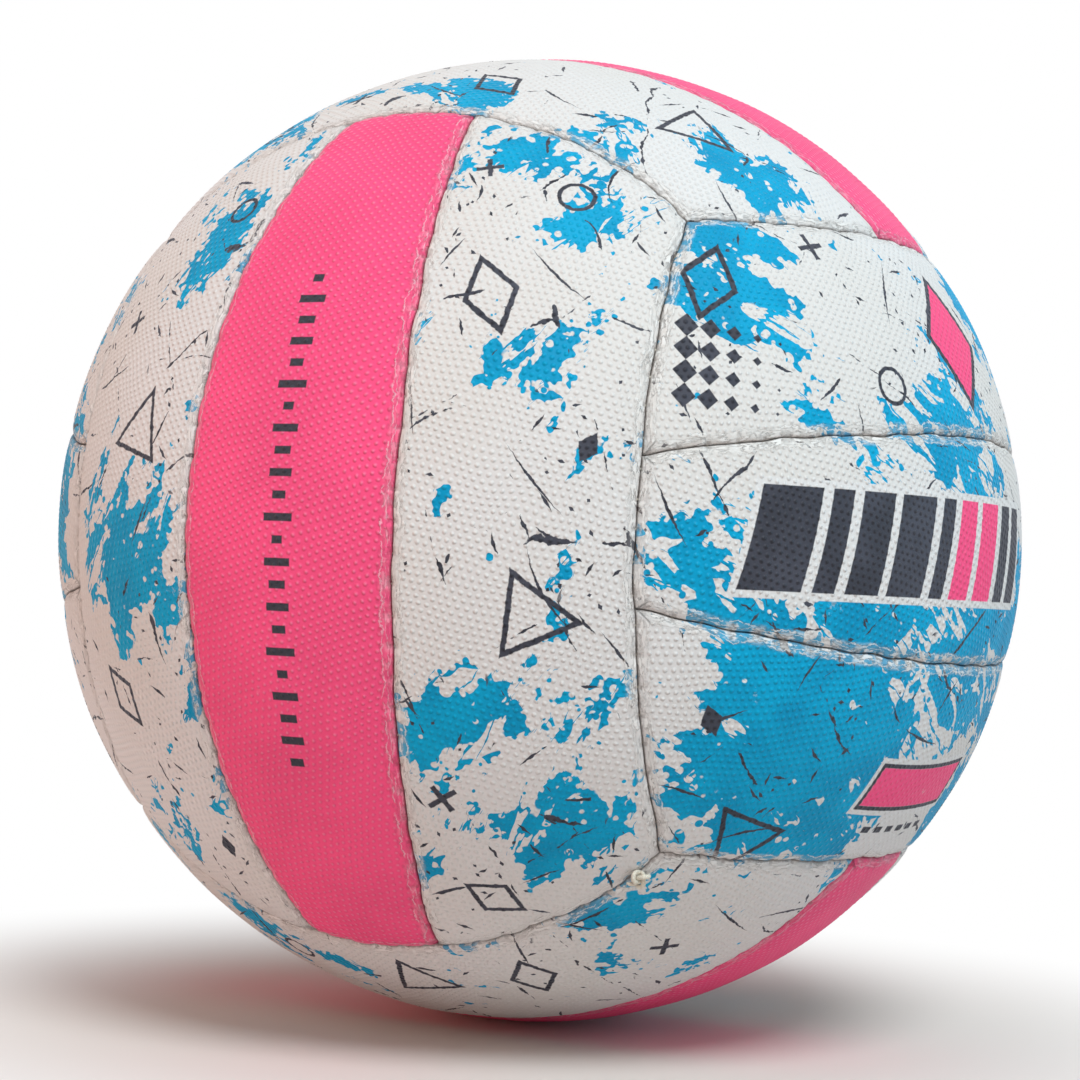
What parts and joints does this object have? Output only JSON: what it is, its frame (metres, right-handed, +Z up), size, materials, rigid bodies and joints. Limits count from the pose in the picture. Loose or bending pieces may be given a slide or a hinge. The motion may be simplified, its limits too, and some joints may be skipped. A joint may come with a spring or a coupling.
{
  "type": "netball",
  "caption": "Stitched netball: moulded grip panels on cloth linings, closed with waxed thread over an air bladder that fills through a self-closing rubber valve.",
  "frame": {"origin": "the ball's centre", "axes": "+Z up, -Y towards the front face, +Y out of the valve, +X towards the right face"},
  "size_m": [0.2228, 0.2227, 0.2228],
  "materials": {
    "printed_panel": "satin, pimpled, printed in cyan and charcoal",
    "pink_panel": "satin, pimpled",
    "lining": "woven",
    "thread": "waxed",
    "bladder": "smooth",
    "valve": "matte"
  },
  "bodies": {
    "root": {"front_left_panel": "printed_panel", "front_middle_panel": "pink_panel", "front_right_panel": "printed_panel", "back_right_panel": "printed_panel", "back_middle_panel": "pink_panel", "back_left_panel": "printed_panel", "right_upper_panel": "printed_panel", "right_middle_panel": "printed_panel", "right_lower_panel": "printed_panel", "left_upper_panel": "printed_panel", "left_middle_panel": "printed_panel", "left_lower_panel": "printed_panel", "top_back_panel": "printed_panel", "top_middle_panel": "pink_panel", "top_front_panel": "printed_panel", "bottom_front_panel": "printed_panel", "bottom_middle_panel": "pink_panel", "bottom_back_panel": "printed_panel", "front_left_lining": "lining", "front_middle_lining": "lining", "front_right_lining": "lining", "back_right_lining": "lining", "back_middle_lining": "lining", "back_left_lining": "lining", "right_upper_lining": "lining", "right_middle_lining": "lining", "right_lower_lining": "lining", "left_upper_lining": "lining", "left_middle_lining": "lining", "left_lower_lining": "lining", "top_back_lining": "lining", "top_middle_lining": "lining", "top_front_lining": "lining", "bottom_front_lining": "lining", "bottom_middle_lining": "lining", "bottom_back_lining": "lining", "front_seam_thread": "thread", "back_seam_thread": "thread", "right_seam_thread": "thread", "left_seam_thread": "thread", "top_seam_thread": "thread", "bottom_seam_thread": "thread", "closing_knot": "thread", "bladder": "bladder", "valve_patch": "valve", "valve_seat": "valve", "valve_plug": "valve"}
  },
  "joints": []
}
